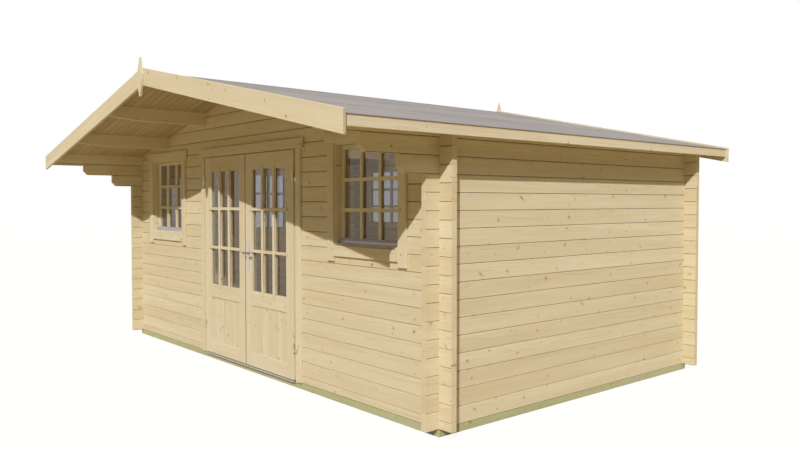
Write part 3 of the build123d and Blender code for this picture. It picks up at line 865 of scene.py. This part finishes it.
# Nails of the window trim
window_nail_inset = 0.06
window_nail_drop = 0.08
window_nail_pitch = 0.35
for word, thin, outward in windows:
    low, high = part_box(f"{word}_window_trim")
    glass_low, glass_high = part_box(f"{word}_window_glass")
    wide = 1 - thin
    face = low[thin] if outward < 0 else high[thin]
    top_z = high.z - top_trim_height / 2
    top_row = spaced(low[wide] + nail_margin, high[wide] - nail_margin, trim_nail_pitch)
    side_rows = spaced(glass_low.z - window_nail_drop, glass_high.z, window_nail_pitch)
    places = [wall_point(thin, along, face, top_z) for along in top_row]
    for along in (low[wide] + window_nail_inset, high[wide] - window_nail_inset):
        places += [wall_point(thin, along, face, z) for z in side_rows]
    add_nails(f"{word}_window_trim_nails", places, wall_point(thin, 0, outward, 0))

# Nails of the barge boards, in pairs, and of the fascias
barge_height = {"front": 0.137, "back": 0.126}
barge_nail_start = 0.12
barge_nail_margin = 0.06
barge_nail_pitch = 0.42
barge_nail_offset = 0.035
for word, outward in (("front", -1), ("back", 1)):
    low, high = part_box(f"{word}_barge_boards")
    face = low.y if outward < 0 else high.y
    places = []
    for side in (-1, 1):
        for x in spaced(barge_nail_start, high.x - barge_nail_margin, barge_nail_pitch):
            middle = high.z - x * slope - barge_height[word] / 2
            places += [(side * x, face, middle + up) for up in (-barge_nail_offset, barge_nail_offset)]
    add_nails(f"{word}_barge_nails", places, (0, outward, 0))

fascia_nail_margin = 0.08
fascia_nail_pitch = 0.5
fascia_nail_drop = 0.003
low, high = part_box("eave_fascias")
nail_z = (low.z + high.z) / 2 - fascia_nail_drop
nail_rows = spaced(low.y + fascia_nail_margin, high.y - fascia_nail_margin, fascia_nail_pitch)
for side, word in ((-1, "left"), (1, "right")):
    add_nails(f"{word}_fascia_nails", [(side * high.x, y, nail_z) for y in nail_rows], (side, 0, 0))

# Hinge screws
hinge_plate_thickness = 0.0028
hinge_shares = (0.12, 0.86)
knuckle_length = 0.038
screw_radius = 0.0035
screw_heights = (0.009, 0.029)
frame_screw_inset = 0.012
leaf_screw_inset = 0.009
leaf_low, leaf_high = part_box("right_door_leaf")
plate_face = leaf_low.y - hinge_plate_thickness
hinge_lows = [leaf_low.z + share * (leaf_high.z - leaf_low.z) for share in hinge_shares]
frame_hinge_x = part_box("frame_hinges")[1].x - frame_screw_inset
leaf_hinge_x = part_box("right_leaf_hinges")[0].x + leaf_screw_inset
frame_screw_rows = [z + up for z in hinge_lows for up in screw_heights]
leaf_screw_rows = [z + knuckle_length + up for z in hinge_lows for up in screw_heights]
places = [(side * frame_hinge_x, plate_face, z) for side in (-1, 1) for z in frame_screw_rows]
add_heads("frame_hinge_screws", places, (0, -1, 0), screw_radius, zinc_metal, "cabin")
for side, word in ((-1, "left"), (1, "right")):
    places = [(side * leaf_hinge_x, plate_face, z) for z in leaf_screw_rows]
    add_heads(f"{word}_leaf_hinge_screws", places, (0, -1, 0), screw_radius, zinc_metal, f"{word}_door")

# Screws and lock barrel of the handle plates
plate_screw_inset = 0.014
barrel_below_lever = 0.075
barrel_radius = 0.0085
barrel_stem = 0.005
barrel_drop = 0.024
barrel_stand = 0.0015
barrel_arc_start = -50
barrel_arc_sweep = 280
barrel_arc_spans = 14
key_slot_half_width = 0.0012
key_slot_half_height = 0.004
key_slot_half_depth = 0.0004
plate_low, plate_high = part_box("door_handle_plates")
lever_low, lever_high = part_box("door_lever")
plate_x = (plate_low.x + plate_high.x) / 2
screw_rows = (plate_low.z + plate_screw_inset, plate_high.z - plate_screw_inset)
barrel_z = (lever_low.z + lever_high.z) / 2 - barrel_below_lever
arc = [math.radians(barrel_arc_start + barrel_arc_sweep * k / barrel_arc_spans)
       for k in range(barrel_arc_spans + 1)]
outline = [(barrel_radius * math.cos(turn), barrel_radius * math.sin(turn)) for turn in arc]
outline += [(-barrel_stem, -barrel_drop), (barrel_stem, -barrel_drop)]
for word, face, outward in (("outer", plate_low.y, -1), ("inner", plate_high.y, 1)):
    places = [(plate_x, face, z) for z in screw_rows]
    add_heads(f"{word}_plate_screws", places, (0, outward, 0), screw_radius, lever_metal, "right_door")
    front = face + outward * barrel_stand
    mesh = bmesh.new()
    add_loft(mesh, *([(plate_x + x, y, barrel_z + z) for x, z in outline] for y in (face, front)))
    add_box(mesh,
            (plate_x - key_slot_half_width, front - key_slot_half_depth, barrel_z - key_slot_half_height),
            (plate_x + key_slot_half_width, front + key_slot_half_depth, barrel_z + key_slot_half_height))
    finish_piece(f"{word}_lock_barrel", mesh, nickel_metal, "right_door")

# Threshold strip with a ribbed nose and a shorter lip than its solid
strip_thickness = 0.003
strip_lip = 0.008
rib_count = 2
rib_start = 0.002
rib_depth = 0.001
rib_pitch = 0.004
rib_quarter = rib_pitch / 4
low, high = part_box("door_threshold")
beam_top = high.z - strip_thickness
section = [(high.y, beam_top), (high.y, high.z), (low.y, high.z)]
for k in range(rib_count):
    top = high.z - rib_start - k * rib_pitch
    section += [(low.y, top), (low.y + rib_depth, top - rib_quarter)]
    section += [(low.y + rib_depth, top - 2 * rib_quarter), (low.y, top - 3 * rib_quarter)]
section += [(low.y, beam_top - strip_lip), (low.y + strip_thickness, beam_top - strip_lip)]
section += [(low.y + strip_thickness, beam_top)]
mesh = bmesh.new()
add_loft(mesh, [(low.x, y, z) for y, z in section], [(high.x, y, z) for y, z in section])
stand_in("ribbed_threshold", "door_threshold", mesh, sill_metal)

# Studio floor
floor_reach = 40.0
floor_cloud_noise = (0.4, 0.4, 0.4)
floor_colours = ((0.43, 0.33, 0.155, 1), (0.45, 0.35, 0.175, 1))
floor_glow = 1.14
floor_glow_share = 0.82


def light_floor():
    """A floor that is nearly white to the eye, keeps a faint shadow and sends warm light up."""
    material, tree, shader = new_material("studio_floor")
    place = put(tree, "TexCoord").outputs["Object"]
    cloud = noise(tree, place, floor_cloud_noise)[0]
    tree.links.new(mixed(tree, cloud, *floor_colours), shader.inputs["Base Color"])
    shader.inputs["Roughness"].default_value = 0.9
    glow = put(tree, "Emission", {"Color": (1, 1, 1, 1), "Strength": floor_glow})
    share = maths(tree, "MULTIPLY", background_rays(tree), floor_glow_share)
    both = put(tree, "MixShader", {0: share, 1: shader.outputs[0], 2: glow.outputs[0]})
    tree.links.new(both.outputs[0], tree.nodes["Material Output"].inputs["Surface"])
    return material


data = bpy.data.meshes.new("studio_floor")
corners = [(-floor_reach, -floor_reach), (floor_reach, -floor_reach), (floor_reach, floor_reach),
           (-floor_reach, floor_reach)]
data.from_pydata([(x, y, 0.0) for x, y in corners], [], [(0, 1, 2, 3)])
data.materials.append(light_floor())
floor = add_object("studio_floor", data)

# White to the eye, and a soft light from above on the object
soft_top_strength = 1.3
soft_top_power = 2.0
world = bpy.data.worlds.new("studio")
bpy.context.scene.world = world
world.use_nodes = True
tree = world.node_tree
sky = tree.nodes["Background"].inputs
sky["Color"].default_value = (1.0, 1.0, 1.0, 1.0)
upward = put(tree, "SeparateXYZ", {0: put(tree, "TexCoord").outputs["Generated"]}).outputs[2]
upward = maths(tree, "POWER", maths(tree, "MAXIMUM", upward, 0.0), soft_top_power)
soft_top = maths(tree, "MULTIPLY", upward, soft_top_strength)
tree.links.new(maths(tree, "MAXIMUM", background_rays(tree), soft_top), sky["Strength"])

# Sun over the right front corner
sun_direction = Vector((-0.815, 1.0, -0.86))
sun_data = bpy.data.lights.new("key", "SUN")
sun_data.energy = 3.2
sun_data.angle = math.radians(0.5)
sun_data.color = (1.0, 0.985, 0.975)
sun = add_object("key", sun_data)
sun.rotation_euler = sun_direction.to_track_quat("-Z", "Y").to_euler()

# A soft lamp in the room, so that it shows through the panes
lamp_data = bpy.data.lights.new("room_lamp", "POINT")
lamp_data.energy = 33.0
lamp_data.shadow_soft_size = 0.3
lamp_data.color = (1.0, 0.95, 0.89)
lamp = add_object("room_lamp", lamp_data)
lamp.location = (-0.2, 0.8, 1.6)
lamp.visible_camera = False
lamp.visible_glossy = False
lamp.visible_transmission = False

# Camera at the photograph's angle
yaw = math.radians(49.702)
pitch = math.radians(-1.774)
forward = Vector((-math.sin(yaw) * math.cos(pitch), math.cos(yaw) * math.cos(pitch), math.sin(pitch)))
camera_data = bpy.data.cameras.new("camera")
camera_data.sensor_width = 36.0
camera_data.lens = 33.45
camera = add_object("camera", camera_data)
camera.location = (5.787, -4.317, 1.474)
camera.rotation_euler = forward.to_track_quat("-Z", "Y").to_euler()
bpy.context.scene.camera = camera
bpy.context.scene.view_settings.view_transform = "Standard"
